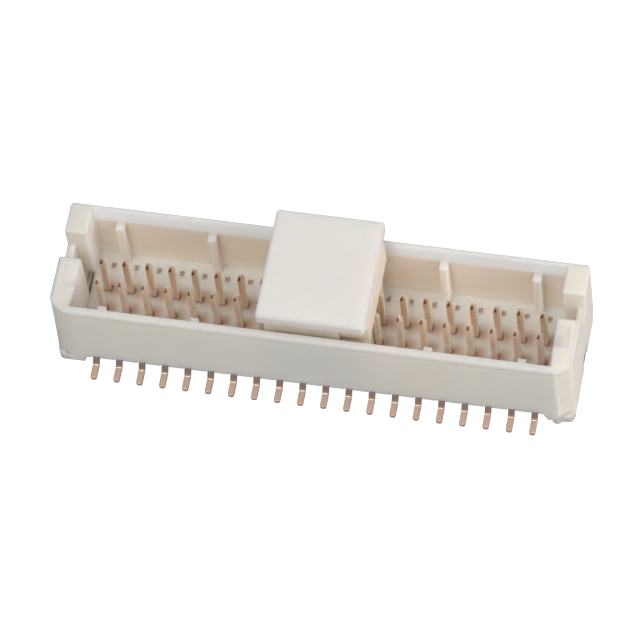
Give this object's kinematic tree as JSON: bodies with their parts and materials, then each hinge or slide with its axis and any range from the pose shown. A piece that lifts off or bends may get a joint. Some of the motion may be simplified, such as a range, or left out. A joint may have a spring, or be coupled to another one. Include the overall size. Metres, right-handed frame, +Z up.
{
  "type": "board to board connector",
  "caption": "Straight two-row surface-mount pin header with a shrouded moulded housing, keyed end walls, gull-wing tails and a flat pull-off pick-up cap.",
  "frame": {"origin": "centre of the solder footprint, on the board's surface", "axes": "+X along the rows, +Y towards the back with the round corners, +Z up out of the board"},
  "size_m": [0.0224, 0.0068, 0.0063],
  "materials": {
    "housing_plastic": "moulded ivory heat-resistant plastic, fine matt surface",
    "cap_plastic": "moulded white heat-resistant plastic, smooth flat top",
    "gold_plating": "copper alloy with thin gold plating",
    "tinned_metal": "folded sheet with dull tin plating"
  },
  "bodies": {
    "header": {"housing": "housing_plastic", "left_solder_tab": "tinned_metal", "right_solder_tab": "tinned_metal", "front_contact_01": "gold_plating", "front_contact_02": "gold_plating", "front_contact_03": "gold_plating", "front_contact_04": "gold_plating", "front_contact_05": "gold_plating", "front_contact_06": "gold_plating", "front_contact_07": "gold_plating", "front_contact_08": "gold_plating", "front_contact_09": "gold_plating", "front_contact_10": "gold_plating", "front_contact_11": "gold_plating", "front_contact_12": "gold_plating", "front_contact_13": "gold_plating", "front_contact_14": "gold_plating", "front_contact_15": "gold_plating", "front_contact_16": "gold_plating", "front_contact_17": "gold_plating", "front_contact_18": "gold_plating", "front_contact_19": "gold_plating", "front_contact_20": "gold_plating", "back_contact_01": "gold_plating", "back_contact_02": "gold_plating", "back_contact_03": "gold_plating", "back_contact_04": "gold_plating", "back_contact_05": "gold_plating", "back_contact_06": "gold_plating", "back_contact_07": "gold_plating", "back_contact_08": "gold_plating", "back_contact_09": "gold_plating", "back_contact_10": "gold_plating", "back_contact_11": "gold_plating", "back_contact_12": "gold_plating", "back_contact_13": "gold_plating", "back_contact_14": "gold_plating", "back_contact_15": "gold_plating", "back_contact_16": "gold_plating", "back_contact_17": "gold_plating", "back_contact_18": "gold_plating", "back_contact_19": "gold_plating", "back_contact_20": "gold_plating"},
    "cap": {"pickup_cap": "cap_plastic"}
  },
  "joints": [
    {"name": "cap_pull", "type": "slide", "parent": "header", "child": "cap", "axis": [0, 0, 1], "range_m": [0, 0.0023]}
  ]
}
